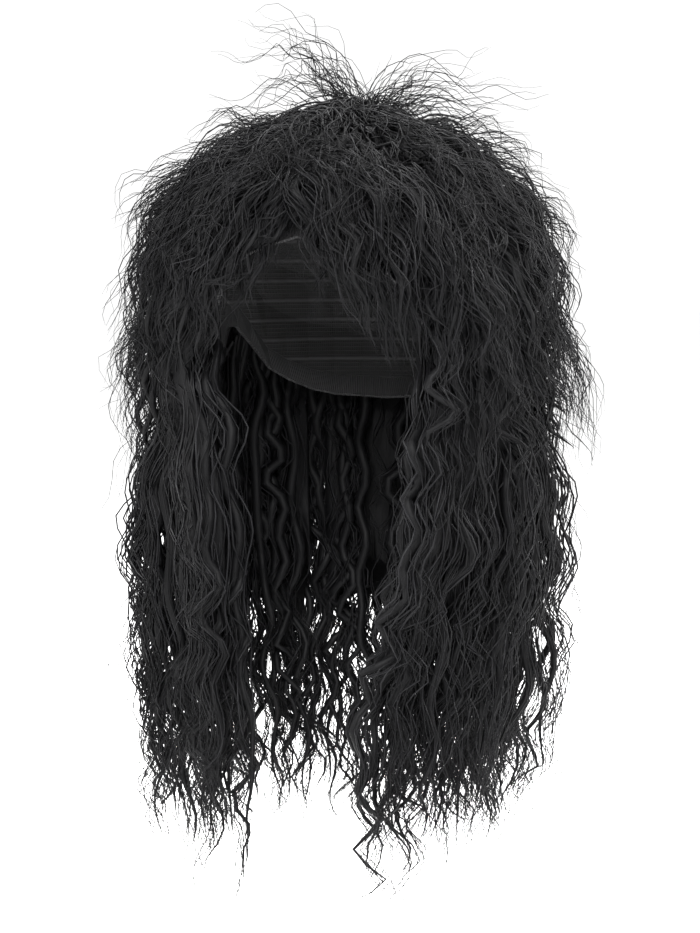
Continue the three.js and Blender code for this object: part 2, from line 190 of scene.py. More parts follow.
@dataclass(frozen=True)
class HairForm:
    """The head, and the outer form of the hair round it."""

    head_half_width: float = 0.077
    head_front: float = 0.094
    head_back: float = 0.100
    head_rise: float = 0.096
    neck_radius: float = 0.060
    half_width: float = 0.142
    front: float = 0.122
    back: float = 0.150
    crown_rise: float = 0.034
    fullness: float = 2.3
    length: float = 0.462
    falls: tuple[float, ...] = (0, 0.15, 0.24, 0.34, 0.5, 0.67, 0.85, 1)
    sides: tuple[float, ...] = (1, 1.04, 1.04, 1.01, 1, 0.98, 0.95, 0.88)
    fronts: tuple[float, ...] = (1, 0.96, 0.9, 0.84, 0.84, 0.88, 0.92, 0.92)
    backs: tuple[float, ...] = (1, 0.99, 0.96, 0.93, 0.9, 0.88, 0.87, 0.84)
    face_turns: tuple[float, ...] = (-60, -46, -30, -20, -10, 0, 5, 12, 20, 30, 46, 60)
    face_polars: tuple[float, ...] = (114, 106, 99, 90, 78, 68, 66, 74, 85, 95, 106, 112)

    @staticmethod
    def around(turn: float, radius: float, height: float) -> np.ndarray:
        """A point at a turn, a radius from the head's axis and a height."""
        angle = math.radians(turn)
        return np.array((radius * math.sin(angle), -radius * math.cos(angle), height))

    @staticmethod
    def oval(turn: float, side: float, front: float, back: float) -> float:
        """Radius at a turn of an oval with its own reach to the front and the back."""
        angle = math.radians(turn)
        ahead = front if math.cos(angle) > 0 else back
        return 1 / math.hypot(math.sin(angle) / side, math.cos(angle) / ahead)

    def head_radius(self, turn: float) -> float:
        """Radius of the head at its widest level."""
        return self.oval(turn, self.head_half_width, self.head_front, self.head_back)

    def on_head(self, turn: float, polar: float, outside: float = 0) -> np.ndarray:
        """A point on the head, or a distance outside it."""
        angle = math.radians(polar)
        radius = (self.head_radius(turn) + outside) * math.sin(angle)
        return self.around(turn, radius, (self.head_rise + outside) * math.cos(angle) - self.head_rise)

    def hairline(self, turn: float) -> float:
        """Polar angle at which the hair over the forehead ends. Past the face it is 180."""
        turn = (turn + 180) % 360 - 180
        return float(np.interp(turn, self.face_turns, self.face_polars, 180, 180))

    def height_at(self, fall: float) -> float:
        """Height at a share of the way from the widest level to the longest tips."""
        return -self.head_rise - fall * (self.length - self.head_rise)

    def body_radius(self, turn: float, height: float) -> float:
        """Radius of the head and neck at a height."""
        level = min(1, abs(height + self.head_rise) / self.head_rise)
        head = self.head_radius(turn) * math.sqrt(1 - level * level)
        return max(head, self.neck_radius) if height < -self.head_rise else head

    def hair_radius(self, turn: float, height: float) -> float:
        """Radius of the outer form of the hair at a height."""
        if height >= -self.head_rise:
            level = min(1, (height + self.head_rise) / (self.head_rise + self.crown_rise))
            full = (1 - level**self.fullness) ** (1 / self.fullness)
            return self.oval(turn, self.half_width, self.front, self.back) * full
        fall = (-self.head_rise - height) / (self.length - self.head_rise)
        return self.oval(
            turn,
            self.half_width * float(np.interp(fall, self.falls, self.sides)),
            self.front * float(np.interp(fall, self.falls, self.fronts)),
            self.back * float(np.interp(fall, self.falls, self.backs)),
        )

    def in_hair(self, turn: float, height: float, share: float) -> np.ndarray:
        """A point at a height, a share of the way from the body to the outer form."""
        inner = self.body_radius(turn, height)
        return self.around(turn, inner + share * (self.hair_radius(turn, height) - inner), height)

    def on_crown(self, turn: float, polar: float, share: float) -> np.ndarray:
        """A point of the crown at a polar angle. Past 90 degrees it goes on down the column."""
        if polar > 90:
            below = math.radians(polar - 90) * self.half_width
            return self.in_hair(turn, -self.head_rise - below, share)
        sine = math.sin(math.radians(polar)) ** (2 / self.fullness)
        cosine = math.cos(math.radians(polar)) ** (2 / self.fullness)
        reach = self.oval(turn, self.half_width, self.front, self.back)
        outer = self.around(turn, reach * sine, (self.head_rise + self.crown_rise) * cosine - self.head_rise)
        head = self.on_head(turn, polar)
        return head + share * (outer - head)


FORM = HairForm()


LOCK_NUMBERS = ("spread", "fine", "crimp", "loose", "heart")


@dataclass(frozen=True)
class Lock:
    """How the strands of a lock lie about its guide.

    Spread is the lock's half width, fine scales the strands' thickness, crimp
    the height of their waves and loose how far they stray. Heart is the radius
    of the dense hair in its middle, as a share of the spread. It takes the
    place of one strand.
    """

    strands: int
    spread: float
    fine: float = 1.0
    crimp: float = 1.0
    loose: float = 1.0
    heart: float = 0.38


class Guides:
    """The guide lines of a piece's locks, as a mesh of edges with their settings."""

    points_per_guide = 20

    def __init__(self, seed: int) -> None:
        """Starts with no guides and a fixed source of chance."""
        self.chance = np.random.default_rng(seed)
        self.paths: list[np.ndarray] = []
        self.locks: list[Lock] = []

    def between(self, low: float, high: float) -> float:
        """A number drawn between two others."""
        return float(self.chance.uniform(low, high))

    def add(self, points: list[np.ndarray], lock: Lock) -> None:
        """Adds a guide along a smooth curve through a few points.

        Args:
            points: the curve's points, from the root to the tip.
            lock: the settings of its strands.
        """
        knots = np.array([2 * points[0] - points[1], *points, 2 * points[-1] - points[-2]])
        places = np.linspace(0, len(points) - 1, self.points_per_guide)
        first = np.minimum(places.astype(int), len(points) - 2)
        t = (places - first)[:, None]
        a, b, c, d = (knots[first + i] for i in range(4))
        path = b + 0.5 * t * (c - a + t * (2 * a - 5 * b + 4 * c - d + t * (3 * (b - c) + d - a)))
        self.paths.append(path)
        self.locks.append(lock)

    def mesh(self, name: str) -> bpy.types.Mesh:
        """The guides as a mesh of edges.

        Args:
            name: the mesh's name.

        Returns:
            The mesh, with the locks' settings and directions as point attributes.
        """
        count = self.points_per_guide
        points = np.concatenate(self.paths)
        forward = np.concatenate([np.gradient(path, axis=0) for path in self.paths])
        away = points - np.array((0, 0, -FORM.head_rise))
        away[:, 2] *= points[:, 2] > -FORM.head_rise
        side = np.cross(forward, away)
        side /= np.linalg.norm(side, axis=1, keepdims=True) + 1e-9
        out = np.cross(side, forward)
        out /= np.linalg.norm(out, axis=1, keepdims=True) + 1e-9
        starts = np.arange(len(self.paths))[:, None] * count + np.arange(count - 1)
        edges = np.stack((starts, starts + 1), axis=-1).reshape(-1, 2)
        mesh = bpy.data.meshes.new(name)
        mesh.from_pydata(points.tolist(), edges.tolist(), [])
        for key, vectors in {"side": side, "out": out}.items():
            mesh.attributes.new(key, "FLOAT_VECTOR", "POINT").data.foreach_set("vector", vectors.ravel())
        settings = {key: [getattr(lock, key) for lock in self.locks] for key in LOCK_NUMBERS}
        settings["phase"] = self.chance.uniform(0, 1, len(self.paths))
        settings["pace"] = self.chance.uniform(0.65, 1.2, len(self.paths))
        for key, values in settings.items():
            attribute = mesh.attributes.new(key, "FLOAT", "POINT")
            attribute.data.foreach_set("value", np.repeat(values, count).astype(np.float32))
        strands = mesh.attributes.new("strands", "INT", "POINT")
        strands.data.foreach_set("value", np.repeat([lock.strands for lock in self.locks], count))
        return mesh


@dataclass(frozen=True)
class StrandSizes:
    """Sizes of a piece's strands, which become the tree's inputs.

    Step is the distance between the bends that a strand can have, pinch how
    far a lock narrows to its tip, and shortest the least share of a guide's
    length that a strand has.
    """

    radius: float = 0.0006
    crimp_height: float = 0.0042
    crimp_length: float = 0.036
    stray: float = 0.010
    step: float = 0.0066
    pinch: float = 0.55
    shortest: float = 0.66

    def inputs(self) -> dict[str, float]:
        """The sizes by the names of the tree's inputs."""
        return {
            "Strand Radius": self.radius,
            "Crimp Height": self.crimp_height,
            "Crimp Length": self.crimp_length,
            "Stray": self.stray,
            "Step": self.step,
            "Pinch": self.pinch,
            "Shortest": self.shortest,
        }


class StrandTree:
    """The Geometry Nodes tree that grows tapered, crimped strands on guides."""

    strand_sides = 3
    heart_sides = 6
    heart_end = 0.92
    swell_pace = 0.29
    outward_pace = 0.83
    shared_drift = 12.0
    own_drift = 24.0

    def __init__(self, material: bpy.types.Material) -> None:
        """Builds the tree, which gives its strands one material."""
        self.tree = bpy.data.node_groups.new("crimped_strands", "GeometryNodeTree")
        self.graph = Graph(self.tree)
        self.ids: dict[str, str] = {}
        self.tree.interface.new_socket("Guides", in_out="INPUT", socket_type="NodeSocketGeometry")
        for name in StrandSizes().inputs():
            self.declare(name, "NodeSocketFloat")
        self.declare("Seed", "NodeSocketInt")
        self.tree.interface.new_socket("Strands", in_out="OUTPUT", socket_type="NodeSocketGeometry")
        self.given = self.graph.node("NodeGroupInput")
        self.build(material)

    def declare(self, name: str, kind: str) -> None:
        """Adds a named input and keeps its identifier."""
        socket = self.tree.interface.new_socket(name, in_out="INPUT", socket_type=kind)
        self.ids[name] = socket.identifier

    def input(self, name: str) -> Value:
        """One of the tree's inputs."""
        return Value(self.graph, self.given.outputs[name])

    def attribute(self, name: str, kind: str = "FLOAT") -> Value:
        """A setting that the guides carry."""
        settings = {"data_type": kind}
        return self.graph.value("GeometryNodeInputNamedAttribute", "Attribute", settings, {"Name": name})

    def chance(self, low: float | Value, high: float, number: int) -> Value:
        """A number for each strand, drawn between two others."""
        index = self.graph.value("GeometryNodeInputIndex", "Index")
        settings = {"data_type": "INT", "domain": "CURVE"}
        strand = self.graph.value("GeometryNodeFieldOnDomain", "Value", settings, {"Value": index})
        inputs = {"Min": low, "Max": high, "ID": strand, "Seed": self.input("Seed") + number}
        return self.graph.value("FunctionNodeRandomValue", "Value", {"data_type": "FLOAT"}, inputs)

    def wander(self, number: Value, scale: float, reach: Value) -> Value:
        """A smooth drift through space, which differs with a number.

        Args:
            number: what tells one drift from another.
            scale: how many times it turns in a metre.
            reach: how far it goes.

        Returns:
            The drift as a vector.
        """
        graph = self.graph
        place = graph.value("GeometryNodeInputPosition", "Position")
        inputs = {"Vector": place, "W": number, "Scale": scale, "Detail": 1.0}
        noise = graph.value("ShaderNodeTexNoise", "Color", {"noise_dimensions": "4D"}, inputs)
        return graph.scaled(graph.vector("SUBTRACT", noise, (0.5, 0.5, 0.5)), reach)

    def offsets(self) -> Value:
        """How far each point of a strand lies from its guide: spread, crimp and stray."""
        graph = self.graph
        along = graph.value("GeometryNodeSplineParameter", "Factor")
        length = graph.value("GeometryNodeSplineParameter", "Length")
        fibre = 1.0 - self.attribute("is_heart")
        loose = self.attribute("loose") * fibre
        width = graph.math("MINIMUM", along * 3.0 + 0.3, 1.0) * (1.0 - self.input("Pinch") * along**3.0)
        spread = self.attribute("spread") * width * fibre
        phase = self.attribute("phase")
        crimp_length = self.input("Crimp Length")
        ramp = graph.math("MINIMUM", length / crimp_length, 1.0) * (along * 0.6 + 0.7)
        angle = (length * self.attribute("pace") / crimp_length + phase) * math.tau
        swell = (angle * self.swell_pace + phase * 17.0).math("SINE") * 0.4 + 0.75
        height = self.input("Crimp Height") * self.attribute("crimp") * ramp * swell
        sideways = angle + self.chance(-0.8, 0.8, 1) * loose
        outwards = angle * self.outward_pace + phase * 9.0 + self.chance(-1.0, 1.0, 2) * loose
        across = self.chance(-1, 1, 3) * spread + sideways.math("SINE") * height * self.chance(0.6, 1.3, 4)
        depth = self.chance(-0.8, 0.8, 5) * spread + outwards.math("SINE") * height * self.chance(0.7, 1.2, 6)
        depth = depth - self.attribute("spread") * self.attribute("is_heart") * 0.5
        reach = self.input("Stray") * graph.math("MINIMUM", along * 2.0, 1.0)
        shared = self.wander(phase * 40.0, self.shared_drift, reach * 2.0)
        own = self.wander(self.chance(0, 30, 7), self.own_drift, reach * loose * 1.1)
        moved = graph.vector(
            "ADD",
            graph.scaled(self.attribute("side", "FLOAT_VECTOR"), across),
            graph.scaled(self.attribute("out", "FLOAT_VECTOR"), depth),
        )
        return graph.vector("ADD", moved, graph.vector("ADD", shared, own))

    def stored(self, geometry: Value, name: str, value: Value, domain: str = "POINT") -> Value:
        """The geometry with a named number on its points or its curves."""
        settings = {"data_type": "FLOAT", "domain": domain}
        inputs = {"Geometry": geometry, "Name": name, "Value": value}
        return self.graph.value("GeometryNodeStoreNamedAttribute", "Geometry", settings, inputs)

    def tubes(self, lines: Value, sides: int, radius: Value) -> Value:
        """Closed tubes with a number of sides along curves."""
        graph = self.graph
        inputs = {"Resolution": sides, "Radius": 1.0}
        circle = graph.value("GeometryNodeCurvePrimitiveCircle", "Curve", inputs=inputs)
        inputs = {"Curve": lines, "Profile Curve": circle, "Scale": radius, "Fill Caps": True}
        return graph.value("GeometryNodeCurveToMesh", "Mesh", inputs=inputs)

    def build(self, material: bpy.types.Material) -> None:
        """Links the whole tree, from the guides to the finished strands."""
        graph = self.graph
        lines = graph.value("GeometryNodeMeshToCurve", "Curve", inputs={"Mesh": self.input("Guides")})
        inputs = {"Curve": lines, "Length": self.input("Step")}
        even = graph.value("GeometryNodeResampleCurve", "Curve", {"mode": "LENGTH"}, inputs)
        inputs = {"Geometry": even, "Amount": self.attribute("strands", "INT")}
        copier = graph.node("GeometryNodeDuplicateElements", {"domain": "SPLINE"}, inputs)
        first = Value(graph, copier.outputs["Duplicate Index"]).math("LESS_THAN", 0.5)
        heart = first * self.attribute("heart").math("GREATER_THAN", 0.0)
        copies = self.stored(Value(graph, copier.outputs["Geometry"]), "is_heart", heart, "CURVE")
        heart = self.attribute("is_heart")
        fibre = 1.0 - heart
        end = self.chance(self.input("Shortest"), 1, 8) * fibre + heart * self.heart_end
        inputs = {"Curve": copies, "End": end}
        cut = graph.value("GeometryNodeTrimCurve", "Curve", {"mode": "FACTOR"}, inputs)
        inputs = {"Geometry": cut, "Offset": self.offsets()}
        bent = graph.value("GeometryNodeSetPosition", "Geometry", inputs=inputs)
        along = graph.value("GeometryNodeSplineParameter", "Factor")
        # Hearts get a tone of nought and so the darkest colour: painted shade between the strands. Other
        # strands get a tone at random.
        marked = self.stored(self.stored(bent, "along", along), "tone_and_heart_shade", self.chance(0, 1, 9) * fibre)
        inputs = {"Geometry": marked, "Selection": heart}
        parts = graph.node("GeometryNodeSeparateGeometry", {"domain": "CURVE"}, inputs)
        taper = graph.math("MINIMUM", along * 5.0 + 0.5, 1.0) * (1.0 - 0.75 * along**3.0)
        radius = self.input("Strand Radius") * self.attribute("fine") * self.chance(0.6, 1.3, 10) * taper
        strands = self.tubes(Value(graph, parts.outputs["Inverted"]), self.strand_sides, radius)
        taper = graph.math("MINIMUM", along * 4.0 + 0.4, 1.0) * (1.0 - 0.95 * along**2.2)
        radius = self.attribute("spread") * self.attribute("heart") * taper
        hearts = self.tubes(Value(graph, parts.outputs["Selection"]), self.heart_sides, radius)
        inputs = {"Geometry": [strands, hearts]}
        whole = graph.value("GeometryNodeJoinGeometry", "Geometry", inputs=inputs)
        smooth = graph.value("GeometryNodeSetShadeSmooth", "Geometry", inputs={"Geometry": whole})
        plain = graph.value("GeometryNodeRealizeInstances", "Geometry", inputs={"Geometry": smooth})
        inputs = {"Geometry": plain, "Material": material}
        dressed = graph.value("GeometryNodeSetMaterial", "Geometry", inputs=inputs)
        graph.node("NodeGroupOutput", inputs={"Strands": dressed})

    def grow(self, name: str, guides: Guides, sizes: StrandSizes) -> bpy.types.Object:
        """Grows the strands of one piece.

        Args:
            name: the piece's name.
            guides: its locks.
            sizes: the sizes of its strands.

        Returns:
            The piece, as a plain mesh with no modifier.
        """
        carrier = bpy.data.objects.new(name + "_guides", guides.mesh(name + "_guides"))
        bpy.context.scene.collection.objects.link(carrier)
        modifier = carrier.modifiers.new("strands", "NODES")
        modifier.node_group = self.tree
        for key, value in sizes.inputs().items():
            modifier[self.ids[key]] = value
        modifier[self.ids["Seed"]] = SEED
        evaluated = carrier.evaluated_get(bpy.context.evaluated_depsgraph_get())
        mesh = bpy.data.meshes.new_from_object(evaluated)
        mesh.name = name
        carrier.modifiers.clear()
        bpy.data.objects.remove(carrier)
        return linked(name, mesh)


def linked(name: str, mesh: bpy.types.Mesh) -> bpy.types.Object:
    """A new object in the scene that holds a mesh."""
    made = bpy.data.objects.new(name, mesh)
    bpy.context.scene.collection.objects.link(made)
    return made


def shell(name: str, rings: list[list[np.ndarray]], material: bpy.types.Material) -> bpy.types.Object:
    """A closed body through rings of points.

    Args:
        name: the object's name.
        rings: rings with the same number of points, from one end to the other.
        material: the body's material.

    Returns:
        The body, smooth, with its faces outwards.
    """
    work = bmesh.new()
    rows = [[work.verts.new(point) for point in ring] for ring in rings]
    count = len(rings[0])
    for above, below in zip(rows, rows[1:]):
        for i in range(count):
            j = (i + 1) % count
            work.faces.new((above[i], above[j], below[j], below[i]))
    for row in (rows[0], rows[-1]):
        middle = work.verts.new(sum((vert.co for vert in row), Vector()) / count)
        for i in range(count):
            work.faces.new((row[i], row[(i + 1) % count], middle))
    bmesh.ops.recalc_face_normals(work, faces=work.faces)
    for face in work.faces:
        face.smooth = True
    mesh = bpy.data.meshes.new(name)
    work.to_mesh(mesh)
    work.free()
    mesh.materials.append(material)
    return linked(name, mesh)


def joined(whole: bpy.types.Object, *others: bpy.types.Object) -> bpy.types.Object:
    """The first object with the others' meshes joined to it."""
    everything = [whole, *others]
    with bpy.context.temp_override(
        active_object=whole, selected_objects=everything, selected_editable_objects=everything
    ):
        bpy.ops.object.join()
    return whole


def fitted(piece: bpy.types.Object, slot: str, *nodes: str) -> None:
    """Puts a finished piece on the wig's body, in place of some nodes.

    Args:
        piece: the piece.
        slot: not used.
        nodes: the nodes that it stands for.
    """
    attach(piece, "root")
    for node in nodes:
        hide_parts(node)
    triangles = sum(len(face.vertices) - 2 for face in piece.data.polygons)
    LOG.info("%s: %d triangles", piece.name, triangles)


def plastic(name: str) -> tuple[bpy.types.Material, Graph, bpy.types.Node]:
    """A new material, its graph and its Principled shader."""
    made = bpy.data.materials.new(name)
    made.use_nodes = True
    return made, Graph(made.node_tree), made.node_tree.nodes["Principled BSDF"]


def coloured(graph: Graph, shader: bpy.types.Node, mask: Value, low: tuple, high: tuple) -> None:
    """Gives a shader a colour between two others, where the mask says."""
    shade = graph.node("ShaderNodeMix", {"data_type": "RGBA"}, {0: mask, 6: low, 7: high})
    graph.tree.links.new(shade.outputs[2], shader.inputs["Base Color"])


def raised(graph: Graph, shader: bpy.types.Node, relief: Value, depth: float, strength: float) -> None:
    """Gives a shader a relief of a depth in metres."""
    inputs = {"Height": relief, "Distance": depth, "Strength": strength}
    bump = graph.node("ShaderNodeBump", {}, inputs)
    graph.tree.links.new(bump.outputs["Normal"], shader.inputs["Normal"])


def round_head(graph: Graph) -> tuple[Value, Value]:
    """The turn round the head's axis in radians, and the height."""
    place = graph.value("ShaderNodeTexCoord", "Object")
    parts = graph.node("ShaderNodeSeparateXYZ", {}, {0: place})
    x, y, z = (Value(graph, parts.outputs[i]) for i in range(3))
    return graph.math("ARCTAN2", x, y), z


@dataclass(frozen=True)
class HairFinish:
    """Black synthetic hair: nearly black, with a soft sheen along the strands."""

    dark: tuple[float, float, float, float] = (0.0012, 0.0012, 0.0014, 1)
    light: tuple[float, float, float, float] = (0.0062, 0.0061, 0.007, 1)
    roughness: float = 0.6
    grain: float = 900.0
    grain_height: float = 0.0003
    specular: float = 0.1

    def material(self) -> bpy.types.Material:
        """Builds the material.

        Returns:
            Hair whose strands differ a little in tone and gloss at random, while the hearts and the cores
            take the darkest colour as painted shade under the strands.
        """
        made, graph, shader = plastic("black_crimped_hair")
        # Cores carry no tone and hearts a tone of nought, so both take the dark colour: painted shade under
        # the strands.
        tone_and_heart_shade = graph.value("ShaderNodeAttribute", "Fac", {"attribute_name": "tone_and_heart_shade"})
        place = graph.value("ShaderNodeTexCoord", "Object")
        stretched = graph.vector("MULTIPLY", place, (1, 1, 0.08))
        inputs = {"Vector": stretched, "Scale": self.grain, "Detail": 2.0}
        grain = graph.value("ShaderNodeTexNoise", "Fac", {}, inputs)
        coloured(graph, shader, tone_and_heart_shade**2.0 * 0.75 + grain * 0.25, self.dark, self.light)
        raised(graph, shader, grain, self.grain_height, 0.5)
        roughness = self.roughness - tone_and_heart_shade * 0.2
        graph.tree.links.new(roughness.socket, shader.inputs["Roughness"])
        shader.inputs["Specular IOR Level"].default_value = self.specular
        return made


@dataclass(frozen=True)
class NetFinish:
    """Black stretch net, in square meshes, with rows of sewn weft."""

    thread: tuple[float, float, float, float] = (0.016, 0.0155, 0.0165, 1)
    hole: tuple[float, float, float, float] = (0.003, 0.003, 0.003, 1)
    mesh_pitch: float = 0.0026
    weft_pitch: float = 0.013
    cap_radius: float = 0.08
    relief_height: float = 0.0008
    roughness: float = 0.8

    def material(self) -> bpy.types.Material:
        """Builds the material.

        Returns:
            Net with raised threads, and holes painted darker as painted shade in the gaps between the
            threads.
        """
        made, graph, shader = plastic("black_cap_net")
        turn, z = round_head(graph)
        upright = (turn * (self.cap_radius * math.tau / self.mesh_pitch)).math("SINE").math("ABSOLUTE")
        level = (z * (math.pi / self.mesh_pitch)).math("SINE").math("ABSOLUTE")
        threads = 1.0 - graph.math("MINIMUM", upright, level) * 2.2
        weft = graph.math("MAXIMUM", (z * (math.tau / self.weft_pitch)).math("SINE") * 4.0 - 2.6, 0.0)
        relief = graph.math("MAXIMUM", graph.math("MAXIMUM", threads, 0.0), weft)
        # The holes take the darker colour: painted shade in the gaps between the threads.
        coloured(graph, shader, graph.math("MINIMUM", relief, 1.0), self.hole, self.thread)
        raised(graph, shader, relief, self.relief_height, 0.8)
        shader.inputs["Roughness"].default_value = self.roughness
        return made


@dataclass(frozen=True)
class ElasticFinish:
    """Black elastic tape with fine upright ribs."""

    thread: tuple[float, float, float, float] = (0.018, 0.0175, 0.0185, 1)
    groove_shade: tuple[float, float, float, float] = (0.006, 0.006, 0.0065, 1)
    rib_pitch: float = 0.0016
    rib_height: float = 0.0005
    band_radius: float = 0.088
    lean: float = 400.0
    roughness: float = 0.7

    def material(self) -> bpy.types.Material:
        """Builds the material.

        Returns:
            Tape with raised ribs across its width, with painted shade in the grooves between them.
        """
        made, graph, shader = plastic("black_elastic")
        turn, z = round_head(graph)
        ribs = turn * (self.band_radius * math.tau / self.rib_pitch)
        rib = (ribs + z * self.lean).math("SINE") * 0.5 + 0.5
        # The grooves take the darker colour: painted shade between the ribs.
        coloured(graph, shader, rib, self.groove_shade, self.thread)
        raised(graph, shader, rib, self.rib_height, 0.7)
        shader.inputs["Roughness"].default_value = self.roughness
        return made


@dataclass
class Cap:
    """The net cap and its elastic edge, whose shapes are the frame's own."""

    net: bpy.types.Material
    elastic: bpy.types.Material

    def dress(self) -> None:
        """Gives the two nodes their materials."""
        for node, material in {"wig_cap": self.net, "edge_band": self.elastic}.items():
            mesh = frame["nodes"][node].data
            mesh.materials.clear()
            mesh.materials.append(material)
            LOG.info("%s: dressed", node)


@dataclass(frozen=True)
class Tier:
    """A row of crown locks round the head.

    Root, crest and tip are polar angles, lift and share places between the
    head and the outer form.
    """

    locks: int
    root: float
    lift: float
    crest: float
    tip: float
    share: float


@dataclass
class Crown:
    """The teased crown: an inner mass and tiers of locks that fall over it."""

    hair: bpy.types.Material
    tree: StrandTree
    upper: tuple[Tier, ...] = (
        Tier(12, 8, 0.8, 20, 50, 0.84),
        Tier(22, 20, 0.74, 38, 70, 0.87),
        Tier(32, 32, 0.7, 54, 88, 0.89),
    )
    lower: tuple[Tier, ...] = (
        Tier(36, 44, 0.68, 70, 102, 0.91),
        Tier(40, 56, 0.68, 84, 116, 0.92),
    )
    spread: float = 0.0105
    upper_strands: int = 13
    lower_strands: int = 11
    parting_turn: float = 5
    crossing_locks: int = 14
    core_share: float = 0.62
    core_end: float = 74

    def core(self) -> bpy.types.Object:
        """The dense hair under the locks, a thick dome with shallow furrows."""
        rings = []
        for polar in (3, 12, 24, 36, 48, 60, self.core_end):
            rings.append([self.furrowed(turn, polar, self.core_share) for turn in range(0, 360, 5)])
        for polar, share in ((66, 0.3), (56, 0.08)):
            rings.append([FORM.on_crown(turn, self.drawn(turn, polar), share) for turn in range(0, 360, 5)])
        return shell("crown_core", rings, self.hair)

    def drawn(self, turn: float, polar: float) -> float:
        """A polar angle of the core, drawn up over the face."""
        return polar * min(1, (FORM.hairline(turn) - 6) / self.core_end)

    def furrowed(self, turn: float, polar: float, share: float) -> np.ndarray:
        """A point of the core's outer face, in a furrow or on a ridge."""
        ridge = 0.05 * math.sin(math.radians(18 * turn + 3 * polar))
        return FORM.on_crown(turn, self.drawn(turn, polar), share + ridge)

    def locks(self, guides: Guides, tiers: tuple[Tier, ...], strands: int) -> None:
        """Adds the locks of some tiers to a piece's guides."""
        for tier in tiers:
            for i in range(tier.locks):
                turn = 360 * (i + guides.between(-0.35, 0.35)) / tier.locks
                turn = (turn + 180) % 360 - 180
                drift = guides.between(-14, 14)
                if FORM.hairline(turn) < 180:
                    drift = 0.5 * drift + math.copysign(8, turn - self.parting_turn)
                tip = tier.tip + guides.between(-10, 10)
                tip = min(tip, FORM.hairline(turn + drift) - guides.between(0, 9))
                crest = min(tier.crest, tip - 8)
                root = min(tier.root, tip - 26)
                share = tier.share + guides.between(-0.14, 0.09)
                points = [
                    FORM.on_head(turn, root, 0.002),
                    FORM.on_crown(turn, root + 2, tier.lift + guides.between(-0.12, 0.06)),
                    FORM.on_crown(turn + 0.3 * drift, crest, share - 0.05),
                    FORM.on_crown(turn + 0.7 * drift, (crest + tip) / 2, share),
                    FORM.on_crown(turn + drift, tip, share + guides.between(-0.06, 0.12)),
                ]
                guides.add(points, Lock(strands, self.spread, loose=1.7, heart=0.26))

    def crossings(self, guides: Guides) -> None:
        """Adds locks that lie across the very top, between the roots round it."""
        for i in range(self.crossing_locks):
            turn = 360 * i / self.crossing_locks + guides.between(-9, 9)
            points = [
                FORM.on_crown(turn, 24, 0.55),
                FORM.on_crown(turn, 12, 0.8 + guides.between(-0.05, 0.04)),
                FORM.on_crown(turn + 180, 9, 0.86 + guides.between(-0.05, 0.06)),
                FORM.on_crown(turn + 180 + guides.between(-20, 20), 36, 0.88),
            ]
            guides.add(points, Lock(11, self.spread, loose=1.8, heart=0))

    def lifts(self, guides: Guides, count: int, low: float, high: float) -> None:
        """Adds wisps that lift off the outer form and curl over at their tips."""
        for _ in range(count):
            turn = guides.between(-180, 180)
            start = min(guides.between(low, high), FORM.hairline(turn) - 40)
            rise = guides.between(0.12, 0.34) * (1.3 - start / 90)
            sweep = guides.between(-16, 16)
            points = [
                FORM.on_crown(turn, start, 0.72),
                FORM.on_crown(turn + 0.2 * sweep, start + 8, 0.94),
                FORM.on_crown(turn + 0.5 * sweep, start + 17, 1.0 + rise),
                FORM.on_crown(turn + 0.8 * sweep, start + 25, 1.0 + 1.1 * rise),
                FORM.on_crown(turn + sweep, start + 32, 0.98 + 0.9 * rise),
            ]
            guides.add(points, Lock(9, 0.0085, fine=0.6, crimp=1.2, loose=1.5, heart=0))

    def flyaways(self, guides: Guides, count: int, low: float, high: float) -> None:
        """Adds fine hairs that stand off the outer form between two polar angles."""
        for _ in range(count):
            turn = guides.between(-180, 180)
            start = min(guides.between(low, high), FORM.hairline(turn) - 36)
            rise = guides.between(0.0, 0.28)
            sweep = guides.between(-22, 22)
            fall = guides.between(10, 32)
            points = [
                FORM.on_crown(turn, start, 0.76),
                FORM.on_crown(turn + 0.2 * sweep, start + 0.3 * fall, 0.9),
                FORM.on_crown(turn + 0.6 * sweep, start + 0.65 * fall, 0.95 + 0.5 * rise),
                FORM.on_crown(turn + sweep, start + fall, 0.97 + rise),
            ]
            guides.add(points, Lock(4, 0.012, fine=0.45, loose=2.2, heart=0))

    def build(self) -> None:
        """Builds and places the crown's two pieces."""
        sizes = StrandSizes(step=0.0072, shortest=0.55, pinch=0.4)
        top = Guides(SEED + 1)
        self.locks(top, self.upper, self.upper_strands)
        self.crossings(top)
        self.lifts(top, 26, 14, 48)
        self.flyaways(top, 190, 6, 60)
        upper = joined(self.tree.grow("crown_upper_locks", top, sizes), self.core())
        fitted(upper, "hair", "crown_hair")
        sides = Guides(SEED + 2)
        self.locks(sides, self.lower, self.lower_strands)
        self.lifts(sides, 18, 44, 74)
        self.flyaways(sides, 150, 45, 92)
        lower = self.tree.grow("crown_lower_locks", sides, sizes)
        fitted(lower, "hair", "crown_hair")


@dataclass(frozen=True)
class Wisp:
    """A wisp at the whorl. Out and up are shares of its length."""

    turn: float
    long: float
    out: float
    up: float


